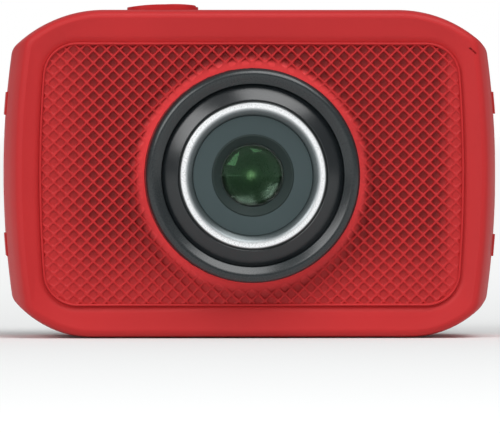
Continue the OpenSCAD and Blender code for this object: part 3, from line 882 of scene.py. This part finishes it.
bezel = lathe("lens_bezel", rounded_profile(
    [(RING_BORE, CARRIER_Y), (RING_R, CARRIER_Y), (RING_R, LENS_Y + 0.85),
     (RING_R - 0.3, LENS_Y + 0.35), (RING_R - 0.75, LENS_Y + 0.1),
     (RING_R - 1.15, LENS_Y + 0.16), (RING_BORE + 0.05, LENS_Y + 0.75),
     (RING_BORE, LENS_Y + 1.5)],
    [0, 0.1, 0.2, 0.4, 0.3, 0.2, 0.05, 0]), sharp=40)
settle(bezel, "lens_ring", gloss_black)

cone = lathe("lens_cone", rounded_profile(
    [(CHROME_R, STACK_Y), (RING_BORE, STACK_Y), (RING_BORE, LENS_Y + 1.4),
     (CHROME_R + 0.12, LENS_Y + 0.2), (CHROME_R, LENS_Y + 0.26)],
    [0, 0, 0.1, 0.12, 0.03]), sharp=40)
settle(cone, "cone_ring", dark_cone)

ring = lathe("chrome_band", rounded_profile(
    [(PLATE_R, STACK_Y), (CHROME_R, STACK_Y), (CHROME_R, LENS_Y + 0.3),
     (CHROME_R - 0.35, LENS_Y), (CHROME_R - 1.1, LENS_Y), (PLATE_R, LENS_Y + 0.7)],
    [0, 0, 0.15, 0.4, 0.5, 0.3], steps=7), sharp=40)
settle(ring, "chrome_ring", chrome_painted_highlight)

plate_back = cad_box("lens_plate")[1].y
plate = lathe("lens_faceplate", rounded_profile(
    [(HOOD_R, plate_back), (PLATE_R, plate_back), (PLATE_R, PLATE_Y), (HOOD_R, PLATE_Y)],
    [0, 0, 0.06, 0.05]), sharp=40)
settle(plate, "lens_plate", grey_plate)

hood_low, hood_high = cad_box("lens_hood")
hood = lathe("inner_hood", rounded_profile(
    [(GLASS_R + 0.05, hood_high.y), (HOOD_R, hood_high.y), (HOOD_R, PLATE_Y),
     (HOOD_R - 0.2, hood_low.y), (GLASS_R + 0.25, PLATE_Y + 0.7),
     (GLASS_R + 0.05, PLATE_Y + 0.9)],
    [0, 0, 0.05, 0.12, 0.1, 0.05]), sharp=40)
settle(hood, "lens_hood", hood_black)


def lens_element(name, node, curve, hollow, material):
    """Lens element whose front bulges or sinks to the curve's radius."""
    low, high = cad_box(node)
    r = high.x
    steps = [r * k / 14 for k in range(15)]
    sag = [curve - sqrt(curve * curve - s * s) for s in steps]
    if hollow:
        front = [(s, low.y + sag[-1] - drop) for s, drop in zip(steps, sag)]
    else:
        front = [(s, low.y + drop) for s, drop in zip(steps, sag)]
    profile = front + [(r, high.y), (0, high.y)]
    settle(lathe(name, profile, 96, sharp=50), node, material)


lens_element("front_element", "front_lens", 9.0, False, front_glass)
lens_element("middle_element", "middle_lens", 8.0, True, inner_coat_painted_reflection)

# -- controls and fittings, from the CAD's own shapes -------------------------------
for name, node, material, body, round_off in (
        ("shutter_surround", "button_surround", red_shell, "case", 0.2),
        ("shutter_cap", "shutter_button", red_shell, "shutter", 0.25),
        ("key_strip", "key_bezel", red_shell, "case", 0.24),
        ("upper_key_cap", "key_upper", red_shell, "upper_key", 0.3),
        ("middle_key_cap", "key_middle", red_shell, "middle_key", 0.3),
        ("lower_key_cap", "key_lower", red_shell, "lower_key", 0.3),
        ("port_strip", "port_bezel", red_shell, "case", 0.24),
        ("door_leaf", "port_door", red_shell, "door", 0.14),
        ("door_gasket", "door_seal", rubber, "door", 0.12),
        ("display_glass", "screen_window", window_black, "case", 0.15),
        ("tripod_bush", "tripod_insert", brass, "case", 0.2),
        ("rear_screws", "shell_screws", screw_steel, "case", 0.06),
        ("status_lenses", "status_lights", light_lens, "case", 0.08),
        ("usb_shell", "usb_port", port_steel, "case", 0.08),
        ("hdmi_shell", "hdmi_port", port_steel, "case", 0.08),
        ("card_cage", "card_slot", port_steel, "case", 0.08)):
    part = cad_copy(name, node)
    soften(part, round_off)
    settle(part, node, material, body)

# -- inside of the camera, as the CAD has it ----------------------------------------
for material, kept in (
        (rubber, ("shell_gasket",)),
        (black_plastic, ("lens_carrier", "lens_holder", "aperture_stop", "speaker")),
        (gloss_black, ("lens_barrel",)),
        (front_glass, ("rear_lens",)),
        (filter_glass, ("ir_filter",)),
        (sensor_face, ("image_sensor",)),
        (board, ("sensor_board", "main_board")),
        (black_plastic, ("sensor_connector", "shutter_switch", "key_switches")),
        (port_steel, ("processor_shield", "display_frame", "door_pin", "microphone")),
        (chip_black, ("memory_chips",)),
        (foil, ("battery",)),
        (lead_red, ("battery_lead",)),
        (display_dark, ("display",)),
        (flex, ("display_flex",))):
    for node in kept:
        dress(nodes[node], material)

# -- floor, light and camera ---------------------------------------------------------
FLOOR_Z = cad_bounds[0][2] / MM - 0.02
FLOOR_REACH = 9.0       # metres


def studio_floor():
    """Pale matt floor that glows a little more with distance, so that it ends in white."""
    mesh = bpy.data.meshes.new("floor")
    corners = [(x * FLOOR_REACH, y * FLOOR_REACH, 0)
               for x, y in ((-1, -1), (1, -1), (1, 1), (-1, 1))]
    mesh.from_pydata(corners, [], [(0, 1, 2, 3)])
    floor = bpy.data.objects.new("floor", mesh)
    bpy.context.scene.collection.objects.link(floor)
    mat, tree, shader, where = start_material("floor_paint")
    tree.links.new(blend_colours(tree, noise(tree, where, 3.0), (0.82, 0.83, 0.83),
                                 (0.84, 0.85, 0.85)), shader.inputs["Base Color"])
    reach = tree.nodes.new("ShaderNodeVectorMath")
    reach.operation = "LENGTH"
    tree.links.new(where, reach.inputs[0])
    glow = reach.outputs["Value"]
    for operation, *numbers in (("MULTIPLY_ADD", 3.3, 1.0), ("LOGARITHM", 2.0),
                                ("MULTIPLY", 0.15)):
        node = tree.nodes.new("ShaderNodeMath")
        node.operation = operation
        for socket, number in zip(node.inputs[1:], numbers):
            socket.default_value = number
        tree.links.new(glow, node.inputs[0])
        glow = node.outputs["Value"]
    tree.links.new(glow, shader.inputs["Emission Strength"])
    shader.inputs["Emission Color"].default_value = (1, 1, 1, 1)
    shader.inputs["Roughness"].default_value = 0.5
    shader.inputs["Specular IOR Level"].default_value = 0.0
    dress(floor, mat)
    floor.location.z = FLOOR_Z * MM


def soft_box(name, place, size, power):
    """Area light at a place in millimetres from the middle, turned to the camera's object."""
    data = bpy.data.lights.new(name, "AREA")
    data.shape, data.size, data.size_y = "RECTANGLE", size[0] * MM, size[1] * MM
    data.energy = power
    light = bpy.data.objects.new(name, data)
    bpy.context.scene.collection.objects.link(light)
    aim = Vector((0, 0, MID_Z))
    light.location = (aim + Vector(place)) * MM
    light.visible_camera = False
    light.rotation_euler = Vector(place).to_track_quat("Z", "Y").to_euler()


def white_room(front, back):
    """World that is bright behind the object and dimmer behind the camera."""
    world = bpy.data.worlds.new("room")
    world.use_nodes = True
    tree = world.node_tree
    background = tree.nodes["Background"]
    coords = tree.nodes.new("ShaderNodeTexCoord")
    split = tree.nodes.new("ShaderNodeSeparateXYZ")
    tree.links.new(coords.outputs["Generated"], split.inputs["Vector"])
    tree.links.new(remap(tree, split.outputs["Y"], front, back, 0.985, 0.995),
                   background.inputs["Strength"])
    background.inputs["Color"].default_value = (1, 1, 1, 1)
    bpy.context.scene.world = world


def studio_camera(distance, yaw, lift, field_w, aim_x, aim_z):
    """Long lens a little to the left of the lens axis. field_w is the width in view."""
    data = bpy.data.cameras.new("camera")
    camera = bpy.data.objects.new("camera", data)
    bpy.context.scene.collection.objects.link(camera)
    aim = Vector((aim_x, FRONT_Y, MID_Z + aim_z))
    around = Vector((-sin(yaw) * cos(lift), -cos(yaw) * cos(lift), sin(lift)))
    camera.location = (aim + around * distance) * MM
    camera.rotation_euler = around.to_track_quat("Z", "Y").to_euler()
    data.sensor_width = 36.0
    data.lens = data.sensor_width * distance / field_w
    data.clip_start, data.clip_end = 0.01, 10.0
    bpy.context.scene.camera = camera


studio_floor()
white_room(0.3, 1.0)
soft_box("key_light", (-2400, -2700, 2100), (2100, 2100), 66.0)
soft_box("top_light", (900, -1600, 3000), (2600, 2200), 80.0)
studio_camera(1200.0, radians(2.5), radians(0.7), 66.9, -0.27, -5.7)
bpy.context.scene.view_settings.view_transform = "Standard"
